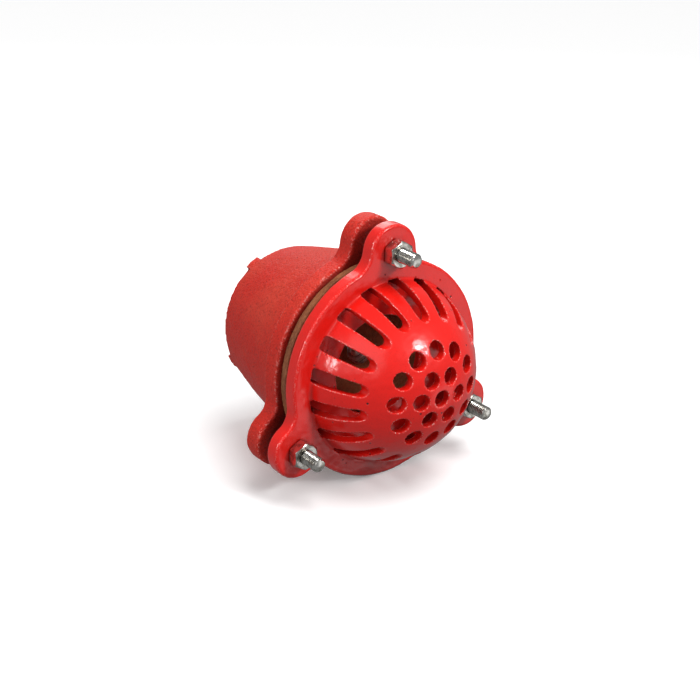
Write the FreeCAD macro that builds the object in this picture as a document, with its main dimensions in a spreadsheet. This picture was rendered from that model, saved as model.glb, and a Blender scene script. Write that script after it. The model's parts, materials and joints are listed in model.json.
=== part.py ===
import FreeCAD, Part
import math
import os
import re

import Sketcher
from FreeCAD import Placement, Rotation, Vector

# Cast-iron foot valve for a 3 inch suction pipe: a bell-shaped body with the pipe thread at its small end,
# a domed strainer with three ears, a leather sheet clamped between the two and a weighted leather flap.
# Every station is a distance along the valve's axis from the mouth of the pipe thread towards the strainer.
# In the part's frame the valve lies on its side: the thread's mouth faces +Y and one ear points up, to +Z.

DIMENSIONS = (
    # body casting
    ("body_length", 107.0),
    ("thread_wall_radius", 43.2),
    ("thread_length", 24.0),
    ("rim_wall", 7.6),
    ("rim_band_length", 7.0),
    ("body_rear_step", 2.4),
    ("body_bulge_radius", 700.0),
    ("body_wall", 12.0),
    ("chamber_neck_length", 26.0),
    ("chamber_taper", 5.5),
    ("body_flange_thickness", 14.4),
    ("lug_count", 4.0),
    ("lug_height", 3.4),
    ("lug_root_depth", 2.0),
    ("lug_spread", 12.0),
    ("first_lug_angle", 31.5),
    # flange outline, shared by both castings
    ("bolt_head_room", 12.5),
    ("nut_room", 18.6),
    ("ear_count", 3.0),
    ("ear_radius", 19.0),
    ("ear_setback", 6.0),
    ("ear_fillet", 14.0),
    ("ear_root_depth", 6.0),
    ("cast_edge_radius", 2.0),
    # leather
    ("leather_thickness", 5.5),
    ("leather_setback", 4.0),
    ("flap_gap", 1.0),
    ("flap_face_clearance", 0.25),
    ("neck_width", 30.0),
    ("neck_length", 4.5),
    ("neck_side_clearance", 0.5),
    ("neck_end_clearance", 0.3),
    # strainer casting
    ("strainer_flange_thickness", 11.3),
    ("seat_height", 5.2),
    ("seat_setback", 8.0),
    ("port_radius", 36.0),
    ("dome_radius", 65.4),
    ("dome_centre_depth", 9.5),
    ("dome_wall", 5.8),
    ("dome_root_fillet", 1.0),
    ("slot_count", 18.0),
    ("slot_half_angle", 4.7),
    ("slot_reach", 18.8),
    ("slot_end_setback", 0.4),
    ("slot_corner_radius", 2.2),
    ("hole_radius", 5.5),
    ("outer_ring_count", 12.0),
    ("inner_ring_count", 6.0),
    # flange fasteners
    ("bolt_radius", 5.0),
    ("bolt_hole_clearance", 0.5),
    ("bolt_length", 60.0),
    ("bolt_head_height", 6.6),
    ("hex_across_flats", 17.0),
    ("nut_height", 8.4),
    ("thread_clearance", 0.05),
    ("bolt_tip_chamfer", 1.2),
    ("hex_face_share", 0.96),
    ("hex_bevel_angle", 30.0),
    # flap
    ("flap_seat_overlap", 6.5),
    ("hinge_room", 12.5),
    ("hinge_angle", 330.0),
    ("flap_open_angle", 65.0),
    ("weight_setback", 8.5),
    ("weight_thickness", 8.0),
    ("weight_edge_radius", 2.0),
    ("flap_bolt_radius", 4.0),
    ("flap_hole_clearance", 0.2),
    ("flap_hex_across_flats", 13.0),
    ("flap_head_height", 5.3),
    ("flap_nut_height", 6.5),
    ("washer_radius", 8.5),
    ("washer_thickness", 1.6),
    ("flap_bolt_past_nut", 3.4),
    ("flap_tip_chamfer", 1.4),
)

doc = FreeCAD.newDocument("foot_valve")
sheet = doc.addObject("Spreadsheet::Sheet", "Dimensions")
for row, (alias, size) in enumerate(DIMENSIONS, start=1):
    sheet.set(f"A{row}", alias)
    sheet.set(f"B{row}", str(size))
    sheet.setAlias(f"B{row}", alias)
doc.recompute()

NAMES = re.compile(r"\b(" + "|".join(alias for alias, _ in DIMENSIONS) + r")\b")

# Radii that follow from the port outwards: the flap covers the port, the chamber clears the flap's hinge,
# and the bolts stand clear of both the body's wall and the dome.
FLAP_RADIUS = "(port_radius + flap_seat_overlap)"
HINGE_RADIUS = f"({FLAP_RADIUS} + neck_length)"
WEIGHT_RADIUS = f"({FLAP_RADIUS} - weight_setback)"
CHAMBER_MOUTH_RADIUS = f"({HINGE_RADIUS} + hinge_room)"
CHAMBER_REAR_RADIUS = f"({CHAMBER_MOUTH_RADIUS} - chamber_taper)"
BODY_ROOT_RADIUS = f"({CHAMBER_MOUTH_RADIUS} + body_wall)"
BOLT_CIRCLE = f"max({BODY_ROOT_RADIUS} + bolt_head_room; dome_radius + nut_room)"
FLANGE_RADIUS = f"({BOLT_CIRCLE} - ear_setback)"
RIM_RADIUS = "(thread_wall_radius + rim_wall)"
BODY_REAR_RADIUS = f"({RIM_RADIUS} + body_rear_step)"
LUG_RADIUS = f"({RIM_RADIUS} + lug_height)"
DOME_INNER_RADIUS = "(dome_radius - dome_wall)"
DOME_FOOT_RADIUS = "sqrt(dome_radius ^ 2 - dome_centre_depth ^ 2)"
SLOT_INNER_RADIUS = "(dome_radius - slot_reach)"
# The two rings of holes divide the space between the middle hole and the slots evenly.
RING_PITCH = f"({SLOT_INNER_RADIUS} / 3)"

# Stations that follow from the body's length.
BODY_FLANGE_BACK = "(body_length - body_flange_thickness)"
LEATHER_FRONT = "(body_length + leather_thickness)"
HINGE_STATION = "(body_length + leather_thickness / 2)"
FLANGE_BACK = f"({LEATHER_FRONT} + seat_height)"
FLANGE_FRONT = f"({FLANGE_BACK} + strainer_flange_thickness)"
DOME_CENTRE = f"({FLANGE_FRONT} - dome_centre_depth)"
FLAP_THICKNESS = "(leather_thickness - 2 * flap_face_clearance)"


def tied(expression):
    """The expression with each size's name pointing at its cell of the sheet."""
    return NAMES.sub(r"Dimensions.\1", expression)


def number(expression):
    """What the expression comes to now."""
    return float(sheet.evalExpression(tied(expression)))


def lying(x=0.0, y=0.0, station=0.0, turn=0.0):
    """Places a piece built with +Z along the valve's axis and +Y towards the top ear."""
    on_its_side = Placement(Vector(0, 0, 0), Rotation(Vector(1, 0, 0), 90))
    return on_its_side * Placement(Vector(x, y, station), Rotation(Vector(0, 0, 1), turn))


def new_body(label, placement):
    body = doc.addObject("PartDesign::Body", label)
    body.Label = label
    body.Placement = placement
    return body


def plane(body, role):
    """The body's own origin plane of that role."""
    return next(item for item in body.Origin.OriginFeatures if item.Role == role)


def new_sketch(body, name, role, offset="0", turn=0.0):
    """A sketch on an origin plane of the body, lifted by an expression and turned about its normal."""
    sketch = body.newObject("Sketcher::SketchObject", name)
    sketch.AttachmentSupport = [(plane(body, role), "")]
    sketch.MapMode = "FlatFace"
    sketch.AttachmentOffset = Placement(Vector(), Rotation(Vector(0, 0, 1), turn))
    sketch.setExpression("AttachmentOffset.Base.z", tied(offset))
    return sketch


def fix_point(sketch, edge, end, across, along):
    """Holds one end of an edge at two expressions, or on an axis where one of them is zero."""
    for kind, axis, expression in (("DistanceX", -2, across), ("DistanceY", -1, along)):
        size = number(expression)
        if abs(size) < 1e-9:
            sketch.addConstraint(Sketcher.Constraint("PointOnObject", edge, end, axis))
            continue
        if size > 0:
            index = sketch.addConstraint(Sketcher.Constraint(kind, -1, 1, edge, end, size))
            sketch.setExpression(f"Constraints[{index}]", tied(expression))
        else:
            index = sketch.addConstraint(Sketcher.Constraint(kind, edge, end, -1, 1, -size))
            sketch.setExpression(f"Constraints[{index}]", tied(f"0 - ({expression})"))


def arc_between(start, finish, radius, clockwise):
    """The short arc of that radius from start to finish."""
    chord = finish - start
    half = chord.Length / 2
    side = Vector(chord.y, -chord.x, 0) if clockwise else Vector(-chord.y, chord.x, 0)
    centre = (start + finish) * 0.5 + side.normalize() * math.sqrt(max(radius**2 - half**2, 0.0))
    begin = math.atan2(start.y - centre.y, start.x - centre.x)
    end = math.atan2(finish.y - centre.y, finish.x - centre.x)
    circle = Part.Circle(centre, Vector(0, 0, 1), radius)
    if clockwise:
        begin, end = end, begin
    return Part.ArcOfCircle(circle, begin, end if end > begin else end + 2 * math.pi)


def outline(sketch, corners):
    """A closed outline through corners (across, along), each held by expressions. A corner may carry
    the radius of the arc that leaves it, and "left" or "right" for the side that the arc's centre is on."""
    places = [Vector(number(corner[0]), number(corner[1]), 0) for corner in corners]
    starts = []
    ends = []
    for index, corner in enumerate(corners):
        start = places[index]
        finish = places[(index + 1) % len(corners)]
        if len(corner) == 2:
            edge = sketch.addGeometry(Part.LineSegment(start, finish), False)
            begins_at, ends_at = 1, 2
        else:
            clockwise = corner[3] == "right"
            edge = sketch.addGeometry(arc_between(start, finish, number(corner[2]), clockwise), False)
            begins_at, ends_at = (2, 1) if clockwise else (1, 2)
            index_of_radius = sketch.addConstraint(Sketcher.Constraint("Radius", edge, number(corner[2])))
            sketch.setExpression(f"Constraints[{index_of_radius}]", tied(corner[2]))
        starts.append((edge, begins_at))
        ends.append((edge, ends_at))
    for index, (edge, end) in enumerate(ends):
        following, begins_at = starts[(index + 1) % len(starts)]
        sketch.addConstraint(Sketcher.Constraint("Coincident", edge, end, following, begins_at))
    for (edge, end), corner in zip(starts, corners):
        fix_point(sketch, edge, end, corner[0], corner[1])
    doc.recompute()


def circle_at(sketch, along, radius):
    """A circle on the sketch's vertical axis."""
    centre = Vector(0, number(along), 0)
    edge = sketch.addGeometry(Part.Circle(centre, Vector(0, 0, 1), number(radius)), False)
    fix_point(sketch, edge, 3, "0", along)
    index = sketch.addConstraint(Sketcher.Constraint("Radius", edge, number(radius)))
    sketch.setExpression(f"Constraints[{index}]", tied(radius))
    doc.recompute()


def revolve(body, sketch):
    solid = body.newObject("PartDesign::Revolution", sketch.Name + "_turned")
    solid.Profile = sketch
    solid.ReferenceAxis = (sketch, ["V_Axis"])
    solid.Angle = 360.0
    body.Tip = solid
    doc.recompute()
    return solid


def pad(body, sketch, length):
    solid = body.newObject("PartDesign::Pad", sketch.Name + "_pad")
    solid.Profile = sketch
    solid.setExpression("Length", tied(length))
    body.Tip = solid
    doc.recompute()
    return solid


def pocket(body, sketch, length):
    """Cuts the sketch towards +Z of its body."""
    before = body.Shape.Volume
    cut = body.newObject("PartDesign::Pocket", sketch.Name + "_pocket")
    cut.Profile = sketch
    cut.Reversed = True
    cut.setExpression("Length", tied(length))
    body.Tip = cut
    doc.recompute()
    if body.Shape.Volume > before - 1.0:
        raise RuntimeError(f"{cut.Name} removed nothing")
    return cut


def groove(body, sketch):
    """Cuts the sketch, turned once about its vertical axis."""
    before = body.Shape.Volume
    cut = body.newObject("PartDesign::Groove", sketch.Name + "_turned")
    cut.Profile = sketch
    cut.ReferenceAxis = (sketch, ["V_Axis"])
    cut.Angle = 360.0
    cut.Reversed = False
    body.Tip = cut
    doc.recompute()
    if body.Shape.Volume > before - 1.0:
        raise RuntimeError(f"{cut.Name} removed nothing")
    return cut


def around(body, count, *features):
    """Repeats the features evenly about the body's Z axis."""
    pattern = body.newObject("PartDesign::PolarPattern", features[-1].Name + "_pattern")
    pattern.Originals = features
    pattern.Axis = (next(item for item in body.Origin.OriginFeatures if item.Role == "Z_Axis"), [""])
    pattern.Angle = 360.0
    pattern.setExpression("Occurrences", tied(count))
    body.Tip = pattern
    doc.recompute()
    return pattern


def round_edges(body, name, radius, wanted):
    """Rounds every edge of the body's tip that the test accepts."""
    base = body.Tip
    edges = [f"Edge{index}" for index, edge in enumerate(base.Shape.Edges, start=1) if wanted(edge)]
    if not edges:
        raise RuntimeError(f"{name} has no edge to round")
    fillet = body.newObject("PartDesign::Fillet", name)
    fillet.Base = (base, edges)
    fillet.setExpression("Radius", tied(radius))
    body.Tip = fillet
    doc.recompute()
    return fillet


def edge_at(edge, station, low, high):
    """True for an edge that lies in the plane at that station, between two distances from the axis."""
    box = edge.BoundBox
    if abs(box.ZMin - station) > 0.01 or abs(box.ZMax - station) > 0.01:
        return False
    middle = edge.valueAt((edge.FirstParameter + edge.LastParameter) / 2)
    return low < math.hypot(middle.x, middle.y) < high


def add_ears(body, name, back, thickness):
    """Three ears that run out of the round flange, each blended into its rim by a hollow fillet."""
    # The hollow fillet's centre is a fixed distance from the valve's axis and from the ear's centre.
    to_axis = f"({FLANGE_RADIUS} + ear_fillet)"
    to_ear = "(ear_radius + ear_fillet)"
    centre_along = f"(({to_axis} ^ 2 - {to_ear} ^ 2 + {BOLT_CIRCLE} ^ 2) / (2 * {BOLT_CIRCLE}))"
    centre_across = f"sqrt({to_axis} ^ 2 - {centre_along} ^ 2)"
    rim_across = f"({centre_across} * {FLANGE_RADIUS} / {to_axis})"
    rim_along = f"({centre_along} * {FLANGE_RADIUS} / {to_axis})"
    ear_across = f"({centre_across} * ear_radius / {to_ear})"
    ear_along = f"({BOLT_CIRCLE} + ({centre_along} - {BOLT_CIRCLE}) * ear_radius / {to_ear})"
    crown = f"({BOLT_CIRCLE} + ear_radius)"
    sketch = new_sketch(body, name, "XY_Plane", back)
    outline(
        sketch,
        (
            (rim_across, f"{rim_along} - ear_root_depth"),
            (rim_across, rim_along, "ear_fillet", "right"),
            (ear_across, ear_along, "ear_radius", "left"),
            ("0", crown, "ear_radius", "left"),
            (f"-{ear_across}", ear_along, "ear_fillet", "right"),
            (f"-{rim_across}", rim_along),
            (f"-{rim_across}", f"{rim_along} - ear_root_depth"),
        ),
    )
    ear = pad(body, sketch, thickness)
    around(body, "ear_count", ear)


def add_bolt_holes(body, name, back, thickness):
    sketch = new_sketch(body, name, "XY_Plane", back)
    circle_at(sketch, BOLT_CIRCLE, "bolt_radius + bolt_hole_clearance")
    around(body, "ear_count", pocket(body, sketch, thickness))


def make_valve_body():
    """The bell: pipe thread, chamber and flange in one casting, with four lugs round its small end."""
    body = new_body("valve_body", lying())
    band_top = (
        f"({BODY_REAR_RADIUS} + ({BODY_ROOT_RADIUS} - {BODY_REAR_RADIUS})"
        f" * rim_band_length / {BODY_FLANGE_BACK})"
    )
    bell = new_sketch(body, "bell", "XZ_Plane")
    outline(
        bell,
        (
            ("thread_wall_radius", "0"),
            (RIM_RADIUS, "0"),
            (RIM_RADIUS, "rim_band_length"),
            (band_top, "rim_band_length", "body_bulge_radius", "left"),
            (BODY_ROOT_RADIUS, BODY_FLANGE_BACK),
            (FLANGE_RADIUS, BODY_FLANGE_BACK),
            (FLANGE_RADIUS, "body_length"),
            (CHAMBER_MOUTH_RADIUS, "body_length"),
            (CHAMBER_REAR_RADIUS, "thread_length + chamber_neck_length"),
            ("thread_wall_radius", "thread_length"),
        ),
    )
    revolve(body, bell)
    lug = new_sketch(body, "lug", "XY_Plane", turn=number("first_lug_angle - 90"))
    side = "sin(lug_spread / 2)"
    up = "cos(lug_spread / 2)"
    root = f"({RIM_RADIUS} - lug_root_depth)"
    outline(
        lug,
        (
            (f"{root} * {side}", f"{root} * {up}"),
            (f"{LUG_RADIUS} * {side}", f"{LUG_RADIUS} * {up}", LUG_RADIUS, "left"),
            (f"-{LUG_RADIUS} * {side}", f"{LUG_RADIUS} * {up}"),
            (f"-{root} * {side}", f"{root} * {up}"),
        ),
    )
    around(body, "lug_count", pad(body, lug, "rim_band_length"))
    add_ears(body, "body_ear", BODY_FLANGE_BACK, "body_flange_thickness")
    near = number(f"({BODY_ROOT_RADIUS} + {FLANGE_RADIUS}) / 2")
    for name, station in (("body_back_edge", BODY_FLANGE_BACK), ("body_front_edge", "body_length")):
        level = number(station)
        round_edges(body, name, "cast_edge_radius", lambda edge: edge_at(edge, level, near, 1e3))
    add_bolt_holes(body, "body_bolt_hole", BODY_FLANGE_BACK, "body_flange_thickness")
    return body


def make_strainer():
    """The domed strainer: seat, flange and slotted, drilled dome in one casting."""
    body = new_body("strainer", lying())
    shell = new_sketch(body, "shell", "XZ_Plane")
    inner_foot = f"sqrt({DOME_INNER_RADIUS} ^ 2 - ({DOME_CENTRE} - {FLANGE_BACK}) ^ 2)"
    outline(
        shell,
        (
            ("port_radius", LEATHER_FRONT),
            (f"{FLANGE_RADIUS} - seat_setback", LEATHER_FRONT),
            (f"{FLANGE_RADIUS} - seat_setback", FLANGE_BACK),
            (FLANGE_RADIUS, FLANGE_BACK),
            (FLANGE_RADIUS, FLANGE_FRONT),
            (DOME_FOOT_RADIUS, FLANGE_FRONT, "dome_radius", "left"),
            ("0", f"{DOME_CENTRE} + dome_radius"),
            ("0", f"{DOME_CENTRE} + {DOME_INNER_RADIUS}", DOME_INNER_RADIUS, "right"),
            (inner_foot, FLANGE_BACK),
            ("port_radius", FLANGE_BACK),
        ),
    )
    revolve(body, shell)
    add_ears(body, "strainer_ear", FLANGE_BACK, "strainer_flange_thickness")
    front = number(FLANGE_FRONT)
    foot = number(DOME_FOOT_RADIUS)
    round_edges(body, "dome_root", "dome_root_fillet", lambda edge: edge_at(edge, front, foot - 1, foot + 1))
    for name, level in (("strainer_back_edge", number(FLANGE_BACK)), ("strainer_front_edge", front)):
        near = number(FLANGE_RADIUS) - 1.0
        round_edges(body, name, "cast_edge_radius", lambda edge: edge_at(edge, level, near, 1e3))
    add_bolt_holes(body, "strainer_bolt_hole", FLANGE_BACK, "strainer_flange_thickness")
    add_slots(body)
    for ring, radius, count in (
        ("outer_ring", f"2 * {RING_PITCH}", "outer_ring_count"),
        ("inner_ring", RING_PITCH, "inner_ring_count"),
    ):
        hole = new_sketch(body, ring, "XY_Plane", FLANGE_FRONT, turn=-90.0)
        circle_at(hole, radius, "hole_radius")
        around(body, count, pocket(body, hole, "dome_radius"))
    centre = new_sketch(body, "centre_hole", "XY_Plane", FLANGE_FRONT)
    circle_at(centre, "0", "hole_radius")
    pocket(body, centre, "dome_radius")
    return body


def add_slots(body):
    """Slots between two planes that meet on the valve's axis. Each runs from a round inner end out to the flange,
    where it goes down to the seat and has softened corners."""
    sine = "sin(slot_half_angle)"
    cosine = "cos(slot_half_angle)"
    tangent = "tan(slot_half_angle)"
    end_centre = f"({SLOT_INNER_RADIUS} / (1 - {sine}))"
    end_across = f"({end_centre} * {cosine} * {sine})"
    end_along = f"({end_centre} * {cosine} ^ 2)"
    outer = f"({DOME_FOOT_RADIUS} + slot_end_setback)"
    shoulder = f"({outer} - slot_corner_radius)"
    corner_across = f"({outer} * {tangent} - slot_corner_radius)"
    slot = new_sketch(body, "slot", "XY_Plane", FLANGE_BACK)
    outline(
        slot,
        (
            (end_across, end_along),
            (f"{shoulder} * {tangent}", shoulder, "slot_corner_radius", "left"),
            (corner_across, outer),
            (f"-{corner_across}", outer, "slot_corner_radius", "left"),
            (f"-{shoulder} * {tangent}", shoulder),
            (f"-{end_across}", end_along, f"{end_centre} * {sine}", "left"),
        ),
    )
    around(body, "slot_count", pocket(body, slot, "2 * dome_radius"))


def primitive(kind, name, turned=Rotation(), **expressions):
    """A Part primitive whose sizes, and the corner or centre that it starts from, follow expressions."""
    item = doc.addObject(kind, name)
    item.Placement = Placement(Vector(), turned)
    for key, expression in expressions.items():
        target = {"x": "Placement.Base.x", "y": "Placement.Base.y", "z": "Placement.Base.z"}.get(key, key)
        item.setExpression(target, tied(expression))
    return item


def combine(kind, name, placement, **links):
    """A Part boolean of pieces made before it."""
    item = doc.addObject(kind, name)
    for key, value in links.items():
        setattr(item, key, value)
    item.Label = name
    item.Placement = placement
    doc.recompute()
    return item


def hinge_frame(turn):
    """Origin on the hinge line, +X along it, +Y towards the valve's axis with the flap closed."""
    angle = number("hinge_angle")
    reach = number(HINGE_RADIUS)
    across = reach * math.cos(math.radians(angle))
    up = reach * math.sin(math.radians(angle))
    closed = lying(across, up, number(HINGE_STATION), angle + 90.0)
    return closed * Placement(Vector(), Rotation(Vector(1, 0, 0), -turn))


def on_flap(height):
    """The flap's own middle, at that height above the leather's middle plane, with the flap hanging open."""
    middle = Placement(Vector(0, number(HINGE_RADIUS), number(height)), Rotation())
    return hinge_frame(number("flap_open_angle")) * middle


def make_leather_gasket():
    """The clamped ring of the leather sheet, with a notch where the flap's neck leaves it."""
    sheet_disc = primitive(
        "Part::Cylinder",
        "sheet_disc",
        Radius=f"{FLANGE_RADIUS} - leather_setback",
        Height="leather_thickness",
    )
    flap_opening = primitive(
        "Part::Cylinder", "flap_opening", Radius=f"{FLAP_RADIUS} + flap_gap", Height="leather_thickness"
    )
    notch_width = "(neck_width + 2 * neck_side_clearance)"
    notch = primitive(
        "Part::Box",
        "neck_notch",
        Length=notch_width,
        Width=f"{HINGE_RADIUS} + {FLAP_THICKNESS} / 2 + neck_end_clearance",
        Height="leather_thickness",
        x=f"0 - {notch_width} / 2",
    )
    opening = combine("Part::MultiFuse", "gasket_opening", Placement(), Shapes=[flap_opening, notch])
    place = lying(station=number("body_length"), turn=number("hinge_angle") - 90.0)
    return combine("Part::Cut", "leather_gasket", place, Base=sheet_disc, Tool=opening)


def make_flap_leather():
    """The swinging disc of the leather sheet, with its neck and the neck's rounded end on the hinge line."""
    half = f"({FLAP_THICKNESS} / 2)"
    flap_disc = primitive(
        "Part::Cylinder",
        "flap_disc",
        Radius=FLAP_RADIUS,
        Height=FLAP_THICKNESS,
        y=HINGE_RADIUS,
        z=f"0 - {half}",
    )
    neck = primitive(
        "Part::Box",
        "flap_neck",
        Length="neck_width",
        Width=f"{HINGE_RADIUS} - {FLAP_RADIUS} / 2",
        Height=FLAP_THICKNESS,
        x="0 - neck_width / 2",
        z=f"0 - {half}",
    )
    rounded_end = primitive(
        "Part::Cylinder",
        "neck_end",
        Rotation(Vector(0, 1, 0), 90),
        Radius=half,
        Height="neck_width",
        x="0 - neck_width / 2",
    )
    blank = combine("Part::MultiFuse", "flap_blank", Placement(), Shapes=[flap_disc, neck, rounded_end])
    bolt_hole = primitive(
        "Part::Cylinder",
        "flap_bolt_hole",
        Radius="flap_bolt_radius + flap_hole_clearance",
        Height=FLAP_THICKNESS,
        y=HINGE_RADIUS,
        z=f"0 - {half}",
    )
    place = hinge_frame(number("flap_open_angle"))
    return combine("Part::Cut", "flap_leather", place, Base=blank, Tool=bolt_hole)


def make_turned(label, placement, corners):
    """A round piece turned from one outline."""
    body = new_body(label, placement)
    profile = new_sketch(body, label + "_profile", "XZ_Plane")
    outline(profile, corners)
    revolve(body, profile)
    return body


def add_hexagon(body, name, across_flats, height):
    sketch = new_sketch(body, name, "XY_Plane")
    corner = f"({across_flats} / 2 / cos(30))"
    outline(sketch, [(f"{corner} * sin({60 * side})", f"{corner} * cos({60 * side})") for side in range(6)])
    return pad(body, sketch, height)


def bevel(body, name, across_flats, face, inward):
    """Turns the hexagon's points off to a cone round one end face. inward is 1 where the metal lies
    above that face and -1 where it lies below."""
    sketch = new_sketch(body, name, "XZ_Plane")
    flat = f"({across_flats} / 2 * hex_face_share)"
    outside = f"({across_flats} * 2 / 3)"
    rise = f"{inward} * ({outside} - {flat}) * tan(hex_bevel_angle)"
    outline(sketch, ((flat, face), (outside, face), (outside, f"{face} + {rise}")))
    groove(body, sketch)


def make_bolt(label, placement, radius, length, across_flats, head_height, tip_chamfer):
    """A hexagon bolt standing on its head."""
    overall = f"({head_height} + {length})"
    body = make_turned(
        label,
        placement,
        (
            ("0", "0"),
            (radius, "0"),
            (radius, f"{overall} - {tip_chamfer}"),
            (f"{radius} - {tip_chamfer}", overall),
            ("0", overall),
        ),
    )
    add_hexagon(body, label + "_head", across_flats, head_height)
    bevel(body, label + "_bevel", across_flats, "0", 1)
    return body


def make_nut(label, placement, radius, across_flats, height):
    """A hexagon nut, bevelled at both ends."""
    body = new_body(label, placement)
    add_hexagon(body, label + "_blank", across_flats, height)
    bevel(body, label + "_low_bevel", across_flats, "0", 1)
    bevel(body, label + "_high_bevel", across_flats, height, -1)
    thread = new_sketch(body, label + "_thread", "XY_Plane")
    circle_at(thread, "0", f"{radius} + thread_clearance")
    pocket(body, thread, height)
    return body


def make_flange_fasteners():
    pieces = []
    for index in range(int(number("ear_count"))):
        turn = 360.0 / number("ear_count") * index
        head = number(f"{BODY_FLANGE_BACK} - bolt_head_height")
        front = number(FLANGE_FRONT)
        across = Placement(Vector(0, number(BOLT_CIRCLE), 0), Rotation())
        pieces.append(
            make_bolt(
                f"flange_bolt_{index + 1}",
                lying(station=head, turn=turn) * across,
                "bolt_radius",
                "bolt_length",
                "hex_across_flats",
                "bolt_head_height",
                "bolt_tip_chamfer",
            )
        )
        pieces.append(
            make_nut(
                f"flange_nut_{index + 1}",
                lying(station=front, turn=turn) * across,
                "bolt_radius",
                "hex_across_flats",
                "nut_height",
            )
        )
    return pieces


def make_flap_metalwork():
    """What is bolted to the flap: the weight behind it, and a washer and nut on its strainer side."""
    half = f"{FLAP_THICKNESS} / 2"
    bore = "(flap_bolt_radius + flap_hole_clearance)"
    weight = make_turned(
        "flap_weight",
        on_flap(f"0 - {half} - weight_thickness"),
        (
            (bore, "0"),
            (f"{WEIGHT_RADIUS} - weight_edge_radius", "0", "weight_edge_radius", "left"),
            (WEIGHT_RADIUS, "weight_edge_radius"),
            (WEIGHT_RADIUS, "weight_thickness"),
            (bore, "weight_thickness"),
        ),
    )
    washer = make_turned(
        "flap_washer",
        on_flap(half),
        (
            (bore, "0"),
            ("washer_radius", "0"),
            ("washer_radius", "washer_thickness"),
            (bore, "washer_thickness"),
        ),
    )
    grip = f"(weight_thickness + {FLAP_THICKNESS} + washer_thickness)"
    bolt = make_bolt(
        "flap_bolt",
        on_flap(f"0 - {half} - weight_thickness - flap_head_height"),
        "flap_bolt_radius",
        f"({grip} + flap_nut_height + flap_bolt_past_nut)",
        "flap_hex_across_flats",
        "flap_head_height",
        "flap_tip_chamfer",
    )
    nut = make_nut(
        "flap_nut",
        on_flap(f"{half} + washer_thickness"),
        "flap_bolt_radius",
        "flap_hex_across_flats",
        "flap_nut_height",
    )
    return [weight, washer, bolt, nut]


def check_document():
    """Stops on any object that failed to compute."""
    for item in doc.Objects:
        if "Invalid" in item.State or "Error" in item.State:
            raise RuntimeError(f"{item.Name} did not compute: {item.State}")


def write(pieces):
    for piece in pieces:
        if piece.Shape.isNull() or not piece.Shape.isValid() or len(piece.Shape.Solids) != 1:
            raise RuntimeError(f"{piece.Label} is not one sound solid")
    os.makedirs("parts", exist_ok=True)
    for piece in pieces:
        piece.Shape.exportStep(f"parts/{piece.Label}.step")


pieces = [make_valve_body(), make_strainer(), make_leather_gasket(), make_flap_leather()]
pieces += make_flap_metalwork() + make_flange_fasteners()
doc.recompute()
check_document()
write(pieces)
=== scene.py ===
import json
import math

import bmesh
import bpy
import numpy as np
from mathutils import Matrix, Vector, noise


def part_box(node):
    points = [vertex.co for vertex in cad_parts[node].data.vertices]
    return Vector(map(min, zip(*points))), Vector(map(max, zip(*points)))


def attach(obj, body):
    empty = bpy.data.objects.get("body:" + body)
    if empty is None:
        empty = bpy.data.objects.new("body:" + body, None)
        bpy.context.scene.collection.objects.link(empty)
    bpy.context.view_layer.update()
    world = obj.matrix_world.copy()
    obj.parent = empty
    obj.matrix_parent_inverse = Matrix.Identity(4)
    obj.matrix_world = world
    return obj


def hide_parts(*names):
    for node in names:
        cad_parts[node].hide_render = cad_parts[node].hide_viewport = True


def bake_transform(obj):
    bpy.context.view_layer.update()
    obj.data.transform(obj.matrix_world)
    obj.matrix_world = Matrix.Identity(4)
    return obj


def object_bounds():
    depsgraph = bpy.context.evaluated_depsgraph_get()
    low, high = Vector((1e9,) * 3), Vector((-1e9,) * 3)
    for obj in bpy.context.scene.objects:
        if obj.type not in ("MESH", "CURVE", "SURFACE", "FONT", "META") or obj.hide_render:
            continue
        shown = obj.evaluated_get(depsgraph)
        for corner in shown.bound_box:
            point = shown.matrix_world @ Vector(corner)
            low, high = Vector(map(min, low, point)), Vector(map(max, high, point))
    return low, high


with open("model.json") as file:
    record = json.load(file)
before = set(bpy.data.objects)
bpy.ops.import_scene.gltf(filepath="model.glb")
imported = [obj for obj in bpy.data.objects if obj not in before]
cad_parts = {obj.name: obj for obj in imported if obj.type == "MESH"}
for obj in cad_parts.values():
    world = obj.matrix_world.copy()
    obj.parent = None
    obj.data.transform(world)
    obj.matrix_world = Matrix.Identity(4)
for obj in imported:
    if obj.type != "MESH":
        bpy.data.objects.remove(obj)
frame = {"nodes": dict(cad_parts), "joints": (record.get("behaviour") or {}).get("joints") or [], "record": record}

# A red cast-iron foot valve lying on its side: strainer dome towards -Y, pipe thread towards +Y.
# Everything is in metres; mm() turns the maker's sizes into them.

CAD_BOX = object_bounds()


def mm(size):
    return size / 1000.0


# ---------------------------------------------------------------- places taken from the frame

THREAD_MOUNT = next(m for m in frame["record"]["mounts"] if m["name"] == "pipe_thread")
SWING = next(j for j in frame["joints"] if j["name"] == "flap_swing")
MOUTH = Vector(THREAD_MOUNT["pos_m"])
THREAD_WALL_RADIUS = mm(THREAD_MOUNT["dims"]["r_mm"])
THREAD_LENGTH = mm(THREAD_MOUNT["dims"]["length_mm"])
HINGE = Vector(SWING["pos_m"])
HINGE_AXIS = Vector(SWING["axis"]).normalized()
OPEN_ANGLE = math.radians(SWING["range_deg"][1])

# The valve's own axes: z runs from the thread's mouth to the dome, y to the top ear.
VALVE = Matrix.Translation(MOUTH) @ Matrix.Rotation(math.radians(90), 4, "X")


def depth(node, side):
    """How far a node's nearest (0) or farthest (1) face lies from the thread's mouth."""
    low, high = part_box(node)
    return MOUTH.y - (high.y if side == 0 else low.y)


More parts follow.
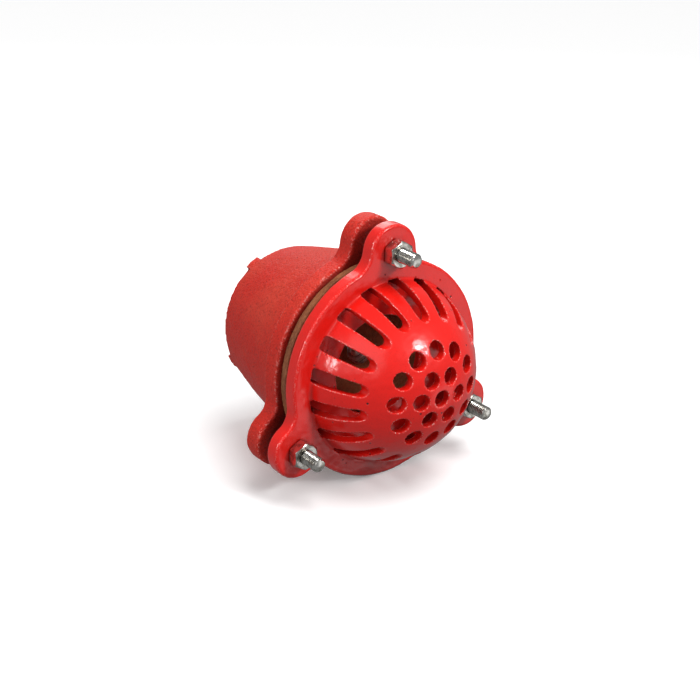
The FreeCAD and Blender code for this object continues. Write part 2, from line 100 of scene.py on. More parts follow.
NUT_BACK = depth("flange_nut_1", 0)
NUT_FRONT = depth("flange_nut_1", 1)
HEAD_BACK = depth("flange_bolt_1", 0)
STUD_TIP = depth("flange_bolt_1", 1)
GASKET_LOW, GASKET_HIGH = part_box("leather_gasket")
GASKET_RADIUS = (GASKET_HIGH.x - GASKET_LOW.x) / 2


# ---------------------------------------------------------------- materials


def linear(code):
    """An sRGB hex colour as linear red, green, blue and alpha."""
    channels = [int(code[i : i + 2], 16) / 255 for i in (1, 3, 5)]
    return [c / 12.92 if c <= 0.04045 else ((c + 0.055) / 1.055) ** 2.4 for c in channels] + [1.0]


def per_mm(size):
    """The scale of a pattern whose features are about that many millimetres across."""
    return 1000.0 / size


def add(tree, kind, settings=None, **inputs):
    """A node with its settings. Each input is a constant or another node's output; input3 is the fourth."""
    node = tree.nodes.new(kind)
    for key, value in (settings or {}).items():
        setattr(node, key, value)
    for key, value in inputs.items():
        socket = node.inputs[int(key[5:]) if key.startswith("input") else key.replace("_", " ")]
        if isinstance(value, bpy.types.NodeSocket):
            tree.links.new(value, socket)
        else:
            socket.default_value = value
    return node


# A mix of two colours: input0 is the share of the second, input6 and input7 are the colours.
COLOURS = {"data_type": "RGBA", "clamp_result": True}


# Colours for a casting's pits, for the pale paint on its edge crests (wear from rubbing and painted glints), and
# for the painted shade in its gaps.
PIT = "#3A0A08"
PALE_GLINT_AND_WEAR = "#E9B9B2"
PAINTED_SHADE = "#2E0806"


def empty_material(name):
    """A material with no nodes, and its node tree."""
    material = bpy.data.materials.new(name)
    material.use_nodes = True
    material.node_tree.nodes.clear()
    return material, material.node_tree


def red_enamel_on_sand_cast_iron(name, base, deep, dusty, gloss, coat, grain, depth, specks):
    """Alkyd enamel, IOR 1.5, brushed or dipped over sand-cast grey iron. It is glossy but follows the sand's
    grain, so highlights break up into sparkles. It is darker in pits and in hollows of the grain. Painted shade,
    from ambient occlusion, darkens its gaps and recesses. Its edges' crests are painted pale: partly wear from
    rubbing, partly painted glints standing for edge highlights. The real grain is under half a millimetre; it is
    drawn coarser, so that it shows."""
    material, tree = empty_material(name)
    place = add(tree, "ShaderNodeTexCoord").outputs["Object"]
    sand = add(tree, "ShaderNodeTexNoise", Vector=place, Scale=per_mm(grain), Detail=3.0, Roughness=0.62)
    lumps = add(tree, "ShaderNodeTexNoise", Vector=place, Scale=per_mm(6.0), Detail=2.0, Roughness=0.5)
    clouds = add(tree, "ShaderNodeTexNoise", Vector=place, Scale=per_mm(38.0), Detail=3.0, Roughness=0.55)
    cells = add(tree, "ShaderNodeTexVoronoi", Vector=place, Scale=per_mm(7.5))
    hollow = add(
        tree,
        "ShaderNodeMapRange",
        Value=sand.outputs["Fac"],
        From_Min=0.34,
        From_Max=0.48,
        To_Min=specks,
        To_Max=0.0,
    )
    crest = add(tree, "ShaderNodeNewGeometry")
    # Pale paint on the crests of edges, broken up by the grain: partly wear from rubbing, partly painted glints
    # standing for edge highlights.
    on_crest = add(
        tree,
        "ShaderNodeMapRange",
        Value=crest.outputs["Pointiness"],
        From_Min=0.512,
        From_Max=0.555,
        To_Min=0.0,
        To_Max=0.9,
    )
    painted_glint_and_wear = add(
        tree,
        "ShaderNodeMapRange",
        Value=sand.outputs["Fac"],
        From_Min=0.52,
        From_Max=0.60,
        To_Min=0.0,
        To_Max=on_crest.outputs["Result"],
    )
    pit = add(
        tree,
        "ShaderNodeMapRange",
        Value=cells.outputs["Distance"],
        From_Min=0.06,
        From_Max=0.13,
        To_Min=1.0,
        To_Max=0.0,
    )
    pitted = add(
        tree,
        "ShaderNodeMapRange",
        Value=lumps.outputs["Fac"],
        From_Min=0.50,
        From_Max=0.60,
        To_Min=0.0,
        To_Max=pit.outputs["Result"],
    )
    worn = add(
        tree,
        "ShaderNodeMapRange",
        Value=clouds.outputs["Fac"],
        From_Min=0.42,
        From_Max=0.68,
        To_Min=0.0,
        To_Max=0.55,
    )
    # Ambient occlusion darkens gaps, recesses and hollows towards the darkest red: painted shade.
    ambient_shade = add(tree, "ShaderNodeAmbientOcclusion", {"samples": 6}, Distance=mm(24))
    painted_shade_share = add(
        tree,
        "ShaderNodeMapRange",
        Value=ambient_shade.outputs["AO"],
        From_Min=0.22,
        From_Max=0.78,
        To_Min=0.85,
        To_Max=0.0,
    )
    tint = linear(base)
    layers = ((worn, dusty), (hollow, deep), (pitted, PIT), (painted_glint_and_wear, PALE_GLINT_AND_WEAR), (painted_shade_share, PAINTED_SHADE))
    for share, colour in layers:
        mix = add(
            tree,
            "ShaderNodeMix",
            COLOURS,
            input0=share.outputs["Result"],
            input6=tint,
            input7=linear(colour),
        )
        tint = mix.outputs[2]
    rough = add(
        tree,
        "ShaderNodeMapRange",
        Value=clouds.outputs["Fac"],
        From_Min=0.3,
        From_Max=0.7,
        To_Min=gloss - 0.05,
        To_Max=gloss + 0.10,
    )
    relief = add(tree, "ShaderNodeBump", Height=lumps.outputs["Fac"], Distance=depth * 0.7, Strength=0.8)
    relief = add(
        tree,
        "ShaderNodeBump",
        Height=sand.outputs["Fac"],
        Distance=depth,
        Strength=1.0,
        Normal=relief.outputs["Normal"],
    )
    relief = add(
        tree,
        "ShaderNodeBump",
        Height=pitted.outputs["Result"],
        Distance=mm(-0.4),
        Strength=0.8,
        Normal=relief.outputs["Normal"],
    )
    shader = add(
        tree,
        "ShaderNodeBsdfPrincipled",
        Base_Color=tint,
        Roughness=rough.outputs["Result"],
        IOR=1.5,
        Specular_IOR_Level=0.3,
        Coat_Weight=coat,
        Coat_Roughness=0.05,
        Coat_IOR=1.5,
        Coat_Normal=relief.outputs["Normal"],
        Normal=relief.outputs["Normal"],
    )
    add(tree, "ShaderNodeOutputMaterial", Surface=shader.outputs["BSDF"])
    return material


def sole_leather(name, base, dark, pale):
    """Vegetable-tanned sole leather, oiled, IOR about 1.45. Its cut edge shows fibres lying along the sheet
    and its faces a fine grain; it has hardly any gloss. The fibres are drawn coarser than they are."""
    material, tree = empty_material(name)
    place = add(tree, "ShaderNodeTexCoord").outputs["Object"]
    along = add(tree, "ShaderNodeMapping", Vector=place, Scale=(1.0, 5.0, 1.0))
    fibres = add(
        tree,
        "ShaderNodeTexNoise",
        Vector=along.outputs["Vector"],
        Scale=per_mm(2.4),
        Detail=6.0,
        Roughness=0.7,
    )
    stain = add(tree, "ShaderNodeTexNoise", Vector=place, Scale=per_mm(17.0), Detail=3.0)
    pores = add(tree, "ShaderNodeTexVoronoi", Vector=place, Scale=per_mm(0.9))
    stained = add(tree, "ShaderNodeMapRange", Value=stain.outputs["Fac"], From_Min=0.35, From_Max=0.65)
    frayed = add(
        tree, "ShaderNodeMapRange", Value=fibres.outputs["Fac"], From_Min=0.46, From_Max=0.70, To_Max=0.8
    )
    tint = linear(base)
    for share, colour in ((stained, dark), (frayed, pale)):
        mix = add(
            tree,
            "ShaderNodeMix",
            COLOURS,
            input0=share.outputs["Result"],
            input6=tint,
            input7=linear(colour),
        )
        tint = mix.outputs[2]
    relief = add(tree, "ShaderNodeBump", Height=fibres.outputs["Fac"], Distance=mm(0.5), Strength=0.8)
    relief = add(
        tree,
        "ShaderNodeBump",
        Height=pores.outputs["Distance"],
        Distance=mm(0.12),
        Strength=0.5,
        Normal=relief.outputs["Normal"],
    )
    shader = add(
        tree,
        "ShaderNodeBsdfPrincipled",
        Base_Color=tint,
        Roughness=0.72,
        IOR=1.45,
        Normal=relief.outputs["Normal"],
    )
    add(tree, "ShaderNodeOutputMaterial", Surface=shader.outputs["BSDF"])
    return material


def bright_zinc(name, bright, dull, roughness):
    """Zinc electroplated on steel: a pale, semi-bright metal with fine drawing marks and dull spots. Ambient
    occlusion paints shade into its threads and corners."""
    material, tree = empty_material(name)
    place = add(tree, "ShaderNodeTexCoord").outputs["Object"]
    marks = add(tree, "ShaderNodeTexNoise", Vector=place, Scale=per_mm(0.8), Detail=4.0, Roughness=0.7)
    spots = add(tree, "ShaderNodeTexNoise", Vector=place, Scale=per_mm(3.5), Detail=3.0)
    dulled = add(tree, "ShaderNodeMapRange", Value=spots.outputs["Fac"], From_Min=0.42, From_Max=0.62)
    # Ambient occlusion darkens thread roots and corners towards a dark grey: painted shade.
    ambient_shade = add(tree, "ShaderNodeAmbientOcclusion", {"samples": 6}, Distance=mm(2.5))
    painted_thread_shade = add(
        tree,
        "ShaderNodeMapRange",
        Value=ambient_shade.outputs["AO"],
        From_Min=0.35,
        From_Max=0.80,
        To_Min=0.85,
        To_Max=0.0,
    )
    tint = linear(bright)
    for share, colour in ((dulled, dull), (painted_thread_shade, "#3C3833")):
        mix = add(
            tree,
            "ShaderNodeMix",
            COLOURS,
            input0=share.outputs["Result"],
            input6=tint,
            input7=linear(colour),
        )
        tint = mix.outputs[2]
    rough = add(
        tree,
        "ShaderNodeMapRange",
        Value=spots.outputs["Fac"],
        From_Min=0.3,
        From_Max=0.7,
        To_Min=roughness,
        To_Max=roughness + 0.08,
    )
    relief = add(tree, "ShaderNodeBump", Height=marks.outputs["Fac"], Distance=mm(0.02), Strength=0.5)
    shader = add(
        tree,
        "ShaderNodeBsdfPrincipled",
        Base_Color=tint,
        Metallic=1.0,
        Roughness=rough.outputs["Result"],
        Normal=relief.outputs["Normal"],
    )
    add(tree, "ShaderNodeOutputMaterial", Surface=shader.outputs["BSDF"])
    return material


def bare_grey_iron(name, base, roughness, grain):
    """Grey iron without paint, as cast or as turned: dark, dull metal with a little rust in its hollows."""
    material, tree = empty_material(name)
    place = add(tree, "ShaderNodeTexCoord").outputs["Object"]
    sand = add(tree, "ShaderNodeTexNoise", Vector=place, Scale=per_mm(grain), Detail=4.0, Roughness=0.6)
    rust = add(tree, "ShaderNodeTexNoise", Vector=place, Scale=per_mm(9.0), Detail=4.0, Roughness=0.6)
    rusted = add(
        tree, "ShaderNodeMapRange", Value=rust.outputs["Fac"], From_Min=0.50, From_Max=0.72, To_Max=0.7
    )
    tint = add(
        tree,
        "ShaderNodeMix",
        COLOURS,
        input0=rusted.outputs["Result"],
        input6=linear(base),
        input7=linear("#5A3A28"),
    )
    relief = add(tree, "ShaderNodeBump", Height=sand.outputs["Fac"], Distance=mm(0.15), Strength=0.6)
    shader = add(
        tree,
        "ShaderNodeBsdfPrincipled",
        Base_Color=tint.outputs[2],
        Metallic=0.75,
        Roughness=roughness,
        Normal=relief.outputs["Normal"],
    )
    add(tree, "ShaderNodeOutputMaterial", Surface=shader.outputs["BSDF"])
    return material


BODY_RED = red_enamel_on_sand_cast_iron(
    "enamel_body",
    base="#D62A1C",
    deep="#86140C",
    dusty="#DC4A36",
    gloss=0.52,
    coat=0.10,
    grain=1.5,
    depth=mm(0.8),
    specks=0.45,
)
STRAINER_RED = red_enamel_on_sand_cast_iron(
    "enamel_strainer",
    base="#F0160C",
    deep="#A80F08",
    dusty="#F0180E",
    gloss=0.36,
    coat=0.9,
    grain=1.1,
    depth=mm(0.08),
    specks=0.15,
)
GASKET_LEATHER = sole_leather("leather_sheet", "#9A5A38", "#6E3E27", "#B98058")
# The flap is cut from the same leather as the ring but is painted paler, which stands for light that barely
# reaches it inside the strainer.
FLAP_LEATHER_PAINTED_PALER = sole_leather("leather_flap", "#C4875C", "#A06A45", "#D09A70")
FASTENER_ZINC = bright_zinc("zinc_plate", "#E4E2DC", "#A8A49B", 0.20)
# The flap's washer, nut and bolt are the same zinc as the flange fasteners. They are painted paler, which stands
# for light that barely reaches them inside the strainer.
FLAP_ZINC_PAINTED_PALER = bright_zinc("zinc_plate_flap", "#F0EEE8", "#C4C0B8", 0.38)
WEIGHT_IRON = bare_grey_iron("iron_as_cast", "#46433F", 0.55, 1.2)
THREAD_IRON = bare_grey_iron("iron_turned", "#7F7B74", 0.34, 0.7)


# ---------------------------------------------------------------- mesh helpers


def piece(name, mesh, material, body, smooth=True):
    """An object of that mesh and material, which rides on a body."""
    mesh.materials.clear()
    mesh.materials.append(material)
    mesh.polygons.foreach_set("use_smooth", [smooth] * len(mesh.polygons))
    item = bpy.data.objects.new(name, mesh)
    bpy.context.scene.collection.objects.link(item)
    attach(item, body)
    return item


def evaluated(item):
    """A new mesh with the object's modifiers applied."""
    return bpy.data.meshes.new_from_object(item.evaluated_get(bpy.context.evaluated_depsgraph_get()))


def points_of(mesh):
    co = np.empty(len(mesh.vertices) * 3, np.float64)
    mesh.vertices.foreach_get("co", co)
    return co.reshape(-1, 3)


def set_points(mesh, co):
    mesh.vertices.foreach_set("co", co.astype(np.float32).ravel())
    mesh.update()


def normals_of(mesh):
    vectors = np.empty(len(mesh.vertices) * 3, np.float32)
    mesh.vertex_normals.foreach_get("vector", vectors)
    return vectors.reshape(-1, 3).astype(np.float64)


def cast_skin(node, voxel, smoothing, waves):
    """A casting's real skin: the node's solid with its corners softened, then pressed in unevenly, as a
    sand mould leaves it. waves are (width, depth) pairs in metres."""
    source = bpy.data.objects.new("mould", frame["nodes"][node].data.copy())
    bpy.context.scene.collection.objects.link(source)
    remesh = source.modifiers.new("remesh", "REMESH")
    remesh.mode = "VOXEL"
    remesh.voxel_size = voxel
    relax = source.modifiers.new("relax", "SMOOTH")
    relax.factor = 0.5
    relax.iterations = smoothing
    mesh = evaluated(source)
    bpy.data.objects.remove(source)
    co = points_of(mesh)
    inward = np.zeros(len(co))
    for index, (width, height) in enumerate(waves):
        shift = Vector((3.1 * index, 1.7, 0.9 * index))
        values = [noise.noise(Vector(p) / width + shift) for p in co]
        inward += (np.array(values) - 0.6) * 0.5 * height
    set_points(mesh, co + normals_of(mesh) * inward[:, None])
    return mesh


def turned_grid(rows, around, close_ends=True):
    """A mesh from rows of points, each a closed ring with the same number of points."""
    mesh = bpy.data.meshes.new("turned")
    points = [point for row in rows for point in row]
    faces = []
    for level in range(len(rows) - 1):
        for side in range(around):
            following = (side + 1) % around
            low = level * around
            high = low + around
            faces.append((low + side, low + following, high + following, high + side))
    if close_ends:
        faces.append(tuple(range(around))[::-1])
        faces.append(tuple((len(rows) - 1) * around + side for side in range(around)))
    mesh.from_pydata(points, [], faces)
    mesh.update()
    return mesh


def outward(mesh):
    """Turns every face outwards."""
    builder = bmesh.new()
    builder.from_mesh(mesh)
    bmesh.ops.recalc_face_normals(builder, faces=builder.faces)
    builder.to_mesh(mesh)
    builder.free()
    return mesh


def joined(meshes):
    """One mesh from several."""
    builder = bmesh.new()
    for mesh in meshes:
        builder.from_mesh(mesh)
    whole = bpy.data.meshes.new("joined")
    builder.to_mesh(whole)
    builder.free()
    return whole


def welded(mesh):
    """Joins points that lie in one place."""
    builder = bmesh.new()
    builder.from_mesh(mesh)
    bmesh.ops.remove_doubles(builder, verts=builder.verts, dist=1e-7)
    builder.to_mesh(mesh)
    builder.free()
    return mesh


def circle(radius, z, around):
    """A closed ring of points about the Z axis."""
    turns = [2 * math.pi * side / around for side in range(around)]
    return [(radius * math.cos(turn), radius * math.sin(turn), z) for turn in turns]


def thread_depth(share, form_depth):
    """Depth below the crest of a metric thread form, share being how far round one pitch."""
    away = abs((share % 1.0) * 2.0 - 1.0)
    flank = min(max((away - 0.12) / 0.72, 0.0), 1.0)
    return form_depth * flank


def threaded_rod(radius, length, thread_from, pitch, form_depth, chamfer, around=48, steps=8):
    """A bolt's shank along +Z from 0, plain up to thread_from, then threaded to its bevelled end."""
    run_in = thread_from - pitch
    threaded = length - run_in
    count = int(threaded / pitch * steps)
    stations = [0.0, run_in] + [run_in + threaded * k / count for k in range(1, count + 1)]
    rows = []
    for z in stations:
        row = []
        fade = min(max((z - run_in) / pitch, 0.0), 1.0)
        limit = radius - max(0.0, z - (length - chamfer))
        for side in range(around):
            angle = 2 * math.pi * side / around
            cut = fade * thread_depth(z / pitch - side / around, form_depth)
            reach = min(radius - cut, limit)
            row.append((reach * math.cos(angle), reach * math.sin(angle), z))
        rows.append(row)
    tip = rows[-1]
    for shrink, rise in ((0.82, 0.10), (0.45, 0.22), (0.12, 0.27)):
        rows.append([(x * shrink, y * shrink, z + rise * chamfer) for x, y, z in tip])
    return turned_grid(rows, around)


def hexagon_block(across_flats, height, bevel_low, bevel_high, bore=0.0, around=72):
    """A hexagon with its points turned off to a 30 degree cone at either end, and a bore if it is a nut."""
    slope = math.tan(math.radians(30))
    apothem = across_flats / 2
    corner = apothem / math.cos(math.radians(30))
    drop = (corner - apothem) * slope
    face = apothem * 0.95

    def outline(z):
        row = []
        for side in range(around):
            angle = 2 * math.pi * side / around
            flat = apothem / math.cos((angle % math.radians(60)) - math.radians(30))
            limits = [flat, corner * 0.992]
            if bevel_low:
                limits.append(face + z / slope)
            if bevel_high:
                limits.append(face + (height - z) / slope)
            row.append((min(limits) * math.sin(angle), min(limits) * math.cos(angle), z))
        return row

    levels = [height * step / 10 for step in range(11)]
    # closer rows near a bevelled end keep its curved edge crisp
    for share in (0.25, 0.5, 0.75, 1.0, 1.3):
        levels += [drop * share] if bevel_low else []
        levels += [height - drop * share] if bevel_high else []
    rows = [outline(z) for z in sorted(levels)]
    if not bore:
        return turned_grid(rows, around)
    lead = mm(0.5)
    section = ((bore + lead, height), (bore, height - lead), (bore, lead), (bore + lead, 0.0))
    for radius, z in section:
        rows.append([(y, x, z) for x, y, z in circle(radius, z, around)])
    return welded(turned_grid(rows + [rows[0]], around, close_ends=False))


def placed(mesh, matrix):
    mesh.transform(matrix)
    mesh.update()
    return mesh


def hard_edges(item, degrees):
    """Keeps edges sharper than that angle crisp and shades the rest smoothly."""
    builder = bmesh.new()
    builder.from_mesh(item.data)
    for edge in builder.edges:
        if len(edge.link_faces) == 2:
            edge.smooth = edge.calc_face_angle(0.0) < math.radians(degrees)
    builder.to_mesh(item.data)
    builder.free()


# ---------------------------------------------------------------- castings


# A 3 inch pipe thread: 11 threads to the inch.
PIPE_PITCH = 0.0254 / 11
PIPE_THREAD_DEPTH = mm(1.479)
BORE_BEHIND_THREAD = THREAD_WALL_RADIUS + mm(1.6)


def make_body_casting():
    """The bell. Its bore is opened a little past the thread's roots, for the thread form that lines it."""
    mesh = cast_skin("valve_body", mm(0.9), 1, ((mm(11), mm(0.50)), (mm(3.6), mm(0.28))))
    co = points_of(mesh)
    away = np.hypot(co[:, 0] - MOUTH.x, co[:, 2] - MOUTH.z)
    station = MOUTH.y - co[:, 1]
    bore = (away < BORE_BEHIND_THREAD) & (station < THREAD_LENGTH + mm(2))
    grow = np.where(bore, BORE_BEHIND_THREAD / np.maximum(away, 1e-6), 1.0)
    co[:, 0] = MOUTH.x + (co[:, 0] - MOUTH.x) * grow
    co[:, 2] = MOUTH.z + (co[:, 2] - MOUTH.z) * grow
    set_points(mesh, co)
    casting = piece("valve_body_casting", mesh, BODY_RED, "body")
    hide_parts("valve_body")


def make_strainer_casting():
    mesh = cast_skin("strainer", mm(0.7), 1, ((mm(13), mm(0.40)), (mm(4.2), mm(0.20))))
    casting = piece("strainer_casting", mesh, STRAINER_RED, "body")
    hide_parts("strainer")


def make_pipe_thread():
    """The turned thread form, with a bevelled lead-in at the mouth."""
    pitch = PIPE_PITCH
    form_depth = PIPE_THREAD_DEPTH
    root = THREAD_WALL_RADIUS + form_depth / 2
    around = 160
    steps = 8
    count = int(THREAD_LENGTH / pitch * steps)
    rows = []
    for k in range(count + 1):
        z = THREAD_LENGTH * k / count + mm(0.4)
        row = []
        for side in range(around):
            angle = 2 * math.pi * side / around
            height = form_depth - thread_depth(z / pitch - side / around, form_depth)
            lead_in = max(0.0, mm(2.2) - z)
            run_out = max(0.0, z - THREAD_LENGTH + mm(1.5))
            reach = max(root - height, root - form_depth + lead_in * 0.9, root - form_depth + run_out)
            reach = min(reach, root + mm(0.9))
            row.append((reach * math.cos(angle), reach * math.sin(angle), z))
        rows.append(row)
    back = [circle(root + mm(1.2), z, around) for z in (rows[-1][0][2], rows[0][0][2])]
    mesh = welded(turned_grid(rows + back + [rows[0]], around, close_ends=False))
    thread = piece("pipe_thread_form", placed(outward(mesh), VALVE), THREAD_IRON, "body")
    hard_edges(thread, 40)


# ---------------------------------------------------------------- flange fasteners


def centre_of(node):
    low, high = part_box(node)
    return (low + high) / 2


# M10 bolts: radius, pitch and depth of thread, height of head.
M10_RADIUS = mm(5)
M10_PITCH = mm(1.5)
M10_THREAD_DEPTH = mm(0.92)
M10_HEAD = mm(6.6)
# How far a bolt's hexagon is turned from the one before it, in degrees.
HEAD_TURN = 12


def make_flange_fasteners():
    low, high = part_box("flange_nut_1")
    across_flats = high.x - low.x
    for index in (1, 2, 3):
        centre = centre_of(f"flange_bolt_{index}")
        turn = math.atan2(centre.z - MOUTH.z, centre.x - MOUTH.x) - math.radians(90)
        along = Matrix.Translation((centre.x, 0, centre.z)) @ Matrix.Rotation(math.radians(90), 4, "X")
        spin = Matrix.Rotation(turn + math.radians(HEAD_TURN * index), 4, "Z")
        length = STUD_TIP - HEAD_BACK - M10_HEAD - mm(0.4)
        rod = threaded_rod(M10_RADIUS, length, mm(34), M10_PITCH, M10_THREAD_DEPTH, chamfer=mm(1.3))
        placed(rod, Matrix.Translation((0, 0, M10_HEAD)))
        head = hexagon_block(across_flats, M10_HEAD, True, False)
        bolt = joined([rod, head])
        placed(outward(bolt), along @ Matrix.Translation((0, 0, HEAD_BACK)) @ spin)
        item = piece(f"flange_bolt_{index}_threaded", bolt, FASTENER_ZINC, "body")
        hard_edges(item, 28)
        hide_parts(f"flange_bolt_{index}")
        nut = hexagon_block(across_flats, NUT_FRONT - NUT_BACK, True, True, bore=M10_RADIUS - mm(0.5))
        spin = Matrix.Rotation(turn, 4, "Z")
        placed(outward(nut), along @ Matrix.Translation((0, 0, NUT_BACK)) @ spin)
        item = piece(f"flange_nut_{index}_bevelled", nut, FASTENER_ZINC, "body")
        hard_edges(item, 28)
        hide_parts(f"flange_nut_{index}")


make_body_casting()
make_strainer_casting()
make_pipe_thread()
make_flange_fasteners()


# ---------------------------------------------------------------- leather and flap

INWARD = HINGE_AXIS.cross(Vector((0, 1, 0))).normalized()
TOWARDS_DOME = Vector((0, -1, 0))
CLOSED = Matrix.Translation(HINGE) @ Matrix(
    (
        (HINGE_AXIS.x, INWARD.x, TOWARDS_DOME.x, 0),
        (HINGE_AXIS.y, INWARD.y, TOWARDS_DOME.y, 0),
        (HINGE_AXIS.z, INWARD.z, TOWARDS_DOME.z, 0),
        (0, 0, 0, 1),
    )
)
OPENED = CLOSED @ Matrix.Rotation(-OPEN_ANGLE, 4, "X")


def in_flap(node):
    """A flap node's box in the flap's own frame: +X along the hinge, +Y across the flap, +Z to the nut."""
    inverse = OPENED.inverted()
    co = np.array([inverse @ v.co for v in frame["nodes"][node].data.vertices])
    return Vector(co.min(0)), Vector(co.max(0))


LEATHER_LOW, LEATHER_HIGH = in_flap("flap_leather")
WASHER_LOW, WASHER_HIGH = in_flap("flap_washer")
NUT_LOW, NUT_HIGH = in_flap("flap_nut")
BOLT_LOW, BOLT_HIGH = in_flap("flap_bolt")
FLAP_MIDDLE = (WASHER_LOW.y + WASHER_HIGH.y) / 2
HALF_THICK = LEATHER_HIGH.z
ON_FLAP = OPENED @ Matrix.Translation((0, FLAP_MIDDLE, 0))


def leather_skin(node, voxel):
    """A leather node's skin: corners rounded as cut and pressed leather's are, faces a little uneven."""
    return cast_skin(node, voxel, 3, ((mm(14), mm(0.30)), (mm(3), mm(0.22))))


def make_gasket():
    """The clamped ring. Its cut edge is squeezed out a little and is rough with fibres."""
    mesh = leather_skin("leather_gasket", mm(0.8))
    co = points_of(mesh)
    away = np.hypot(co[:, 0] - MOUTH.x, co[:, 2] - MOUTH.z)
    edge = np.clip((away - GASKET_RADIUS + mm(1.2)) / mm(1.2), 0, 1)
    layers = np.array([noise.noise(Vector((p[0] / mm(9), p[1] / mm(0.9), p[2] / mm(9)))) for p in co])
    grow = 1 + edge * (layers * mm(0.45) - mm(0.25)) / np.maximum(away, 1e-6)
    co[:, 0] = MOUTH.x + (co[:, 0] - MOUTH.x) * grow
    co[:, 2] = MOUTH.z + (co[:, 2] - MOUTH.z) * grow
    set_points(mesh, co)
    ring = piece("leather_ring", mesh, GASKET_LEATHER, "body")
    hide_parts("leather_gasket")


def make_flap_leather():
    mesh = leather_skin("flap_leather", mm(0.8))
    flap = piece("flap_disc", mesh, FLAP_LEATHER_PAINTED_PALER, "flap")
    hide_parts("flap_leather")


def make_hinge_web():
    """The strip of the same leather that joins the flap's neck to the ring, made in one fixed bend."""
    half_width = (LEATHER_HIGH.x - LEATHER_LOW.x) * 0.40
    thin = HALF_THICK * 0.62
    reach = mm(5.5)
    ring_side = -INWARD
    flap_side = (OPENED.to_3x3() @ Vector((0, 1, 0))).normalized()
    stations = 14
    # A flat strip's outline with softened edges, in half widths and half thicknesses.
    below = ((-1, -0.6), (-0.97, -1), (0, -1), (0.97, -1), (1, -0.6))
    section = below + tuple((-u, -v) for u, v in below)
    rows = []
    for k in range(stations + 1):
        share = k / stations * 2 - 1
        bend = 1 / (1 + math.exp(-share * 6))
        along = ring_side * max(-share, 0) * reach + flap_side * max(share, 0) * reach
        facing = (TOWARDS_DOME * (1 - bend) + (OPENED.to_3x3() @ Vector((0, 0, 1))) * bend).normalized()
        centre = HINGE + along
        row = []
        for u, v in section:
            row.append(tuple(centre + HINGE_AXIS * (u * half_width) + facing * (v * thin)))
        rows.append(row)
    mesh = outward(turned_grid(rows, len(section)))
    web = bpy.data.objects.new("flap_neck_web", mesh)
    bpy.context.scene.collection.objects.link(web)
    mesh.materials.append(FLAP_LEATHER_PAINTED_PALER)
    mesh.polygons.foreach_set("use_smooth", [True] * len(mesh.polygons))
    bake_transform(web)


def make_flap_weight():
    """The iron disc behind the leather."""
    weight = piece(
        "flap_weight_casting",
        cast_skin("flap_weight", mm(0.8), 3, ((mm(9), mm(0.4)), (mm(3), mm(0.25)))),
        WEIGHT_IRON,
        "flap",
    )
    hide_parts("flap_weight")


def make_flap_washer():
    around = 64
    outer = (WASHER_HIGH.x - WASHER_LOW.x) / 2
    bore = mm(4.2)
    low = WASHER_LOW.z
    high = WASHER_HIGH.z
    soft = mm(0.3)
    section = (
        (bore, low),
        (outer - soft, low),
        (outer, low + soft),
        (outer, high - soft),
        (outer - soft, high),
        (bore + soft, high),
        (bore, high - soft),
        (bore, low),
    )
    rows = [circle(radius, z, around) for radius, z in section]
    washer = piece(
        "flap_washer_turned",
        placed(outward(welded(turned_grid(rows, around, close_ends=False))), ON_FLAP),
        FLAP_ZINC_PAINTED_PALER,
        "flap",
    )
    hard_edges(washer, 28)
    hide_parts("flap_washer")


# The M8 bolt through the flap: radius, pitch and depth of thread, height of head, hexagon across its flats.
M8_RADIUS = mm(4)
M8_PITCH = mm(1.25)
M8_THREAD_DEPTH = mm(0.77)
M8_HEAD = mm(5.3)
M8_ACROSS_FLATS = NUT_HIGH.x - NUT_LOW.x
# Its end is rounded by this much.
M8_CROWN = mm(1.2)


def make_flap_nut():
    nut = hexagon_block(M8_ACROSS_FLATS, NUT_HIGH.z - NUT_LOW.z, True, True, bore=M8_RADIUS - mm(0.4))
    item = piece(
        "flap_nut_bevelled",
        placed(outward(nut), ON_FLAP @ Matrix.Translation((0, 0, NUT_LOW.z))),
        FLAP_ZINC_PAINTED_PALER,
        "flap",
    )
    hard_edges(item, 28)
    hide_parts("flap_nut")


def make_flap_bolt():
    length = BOLT_HIGH.z - BOLT_LOW.z - M8_HEAD - M8_CROWN
    rod = threaded_rod(M8_RADIUS, length, mm(8), M8_PITCH, M8_THREAD_DEPTH, chamfer=mm(1.0), around=40)
    placed(rod, Matrix.Translation((0, 0, M8_HEAD)))
    dome = domed_tip(mm(3.4), M8_CROWN)
    placed(dome, Matrix.Translation((0, 0, M8_HEAD + length)))
    bolt = joined([rod, hexagon_block(M8_ACROSS_FLATS, M8_HEAD, True, False), dome])
    item = piece(
        "flap_bolt_threaded",
        placed(outward(bolt), ON_FLAP @ Matrix.Translation((0, 0, BOLT_LOW.z))),
        FLAP_ZINC_PAINTED_PALER,
        "flap",
    )
    hard_edges(item, 40)
    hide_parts("flap_bolt")


def domed_tip(radius, rise, around=40, levels=7):
    """The round end of a bolt, starting a little inside it."""
    rows = [circle(radius, -rise, around)]
    for level in range(levels):
        lift = math.radians(90 * level / levels)
        rows.append(circle(radius * math.cos(lift), rise * math.sin(lift), around))
    return turned_grid(rows, around)


make_gasket()
make_flap_leather()
make_hinge_web()
make_flap_weight()
make_flap_washer()
make_flap_nut()
make_flap_bolt()


# ---------------------------------------------------------------- floor, light and camera

FLANGE_CENTRE = Vector((MOUTH.x, MOUTH.y - NUT_BACK, MOUTH.z))
LAMP_DISTANCE = 1.4
CAMERA_OFFSET = Vector((-0.5154, -0.6265, 0.3444))


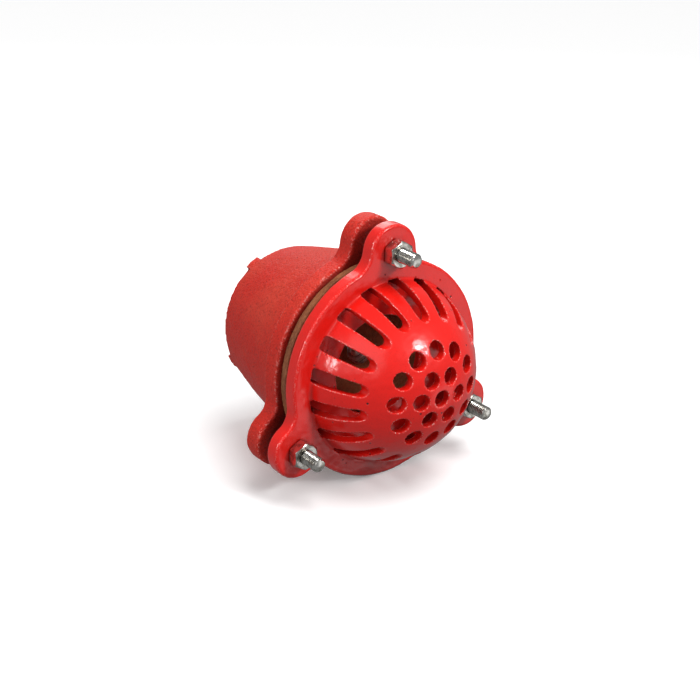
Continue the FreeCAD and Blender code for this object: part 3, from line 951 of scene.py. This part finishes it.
def make_floor():
    """A plain pale sweep that the valve lies on."""
    half = 12.0
    mesh = bpy.data.meshes.new("floor")
    low = CAD_BOX[0][2]
    corners = [(x * half, y * half, low) for x, y in ((-1, -1), (1, -1), (1, 1), (-1, 1))]
    mesh.from_pydata(corners, [], [(0, 1, 2, 3)])
    material, tree = empty_material("studio_floor")
    shader = add(
        tree,
        "ShaderNodeBsdfPrincipled",
        Base_Color=linear("#FBFBFB"),
        Roughness=0.9,
        Emission_Color=linear("#FFFFFF"),
        Emission_Strength=0.14,
    )
    add(tree, "ShaderNodeOutputMaterial", Surface=shader.outputs["BSDF"])
    mesh.materials.append(material)
    floor = bpy.data.objects.new("floor", mesh)
    bpy.context.scene.collection.objects.link(floor)
    # The pale floor isn't mirrored in the enamel and throws no light back up into it.
    floor.visible_glossy = False
    floor.visible_diffuse = False


def from_flange(azimuth, elevation):
    """A direction in degrees: azimuth 0 is in front of the dome and 90 on the right."""
    a = math.radians(azimuth)
    e = math.radians(elevation)
    return Vector((math.sin(a) * math.cos(e), -math.cos(a) * math.cos(e), math.sin(e)))


def hang(lamp, offset, mirrored):
    """Hangs a lamp at that offset from the flange, facing it. One that isn't mirrored lights surfaces but
    leaves no highlight on them."""
    item = bpy.data.objects.new(lamp.name, lamp)
    item.location = FLANGE_CENTRE + offset
    item.rotation_euler = (-offset).to_track_quat("-Z", "Y").to_euler()
    item.visible_glossy = mirrored
    bpy.context.scene.collection.objects.link(item)


def make_light(name, azimuth, elevation, width, height, power, mirrored=True):
    """A soft box."""
    lamp = bpy.data.lights.new(name, "AREA")
    lamp.shape = "RECTANGLE"
    lamp.size = width
    lamp.size_y = height
    lamp.energy = power
    hang(lamp, from_flange(azimuth, elevation) * LAMP_DISTANCE, mirrored)


def make_sun(name, azimuth, elevation, softness, strength, mirrored=True):
    """An even, soft light over the whole floor; softness is how wide the source looks, in degrees."""
    lamp = bpy.data.lights.new(name, "SUN")
    lamp.energy = strength
    lamp.angle = math.radians(softness)
    hang(lamp, from_flange(azimuth, elevation), mirrored)


def make_world(strength):
    world = bpy.data.worlds.new("studio")
    world.use_nodes = True
    world.node_tree.nodes.clear()
    background = add(world.node_tree, "ShaderNodeBackground", Color=linear("#FFFFFF"), Strength=strength)
    add(world.node_tree, "ShaderNodeOutputWorld", Surface=background.outputs["Background"])
    bpy.context.scene.world = world


def make_camera():
    """A long lens on the dome's left, a little above the valve's axis and turned two degrees."""
    azimuth, elevation, roll = (math.radians(x) for x in (-37.54, 22.17, 2.02))
    level = Vector((math.cos(azimuth), math.sin(azimuth), 0))
    ahead = Vector((-math.sin(azimuth), math.cos(azimuth), 0))
    forward = ahead * math.cos(elevation) - Vector((0, 0, math.sin(elevation)))
    above = level.cross(forward)
    right = level * math.cos(roll) + above * math.sin(roll)
    up = above * math.cos(roll) - level * math.sin(roll)
    matrix = Matrix((right, up, -forward)).transposed().to_4x4()
    matrix.translation = FLANGE_CENTRE + CAMERA_OFFSET
    data = bpy.data.cameras.new("camera")
    data.lens = 66.86
    data.sensor_width = 36.0
    camera = bpy.data.objects.new("camera", data)
    camera.matrix_world = matrix
    bpy.context.scene.collection.objects.link(camera)
    bpy.context.scene.camera = camera


make_floor()
make_world(0.24)
make_sun("top_right", 40, 74, 40, 2.1, mirrored=False)
make_light("key_right", 19, 35, 0.24, 0.20, 8.0)
make_light("side_left", -98, 17, 0.16, 0.40, 4.5)
make_light("front_fill", -62, 34, 1.1, 1.1, 3.4)
make_light("low_right", 39, -19, 0.7, 0.5, 0.9)
make_light("back_high", 150, 38, 0.8, 0.8, 5.0)
make_camera()
bpy.context.scene.view_settings.view_transform = "Standard"
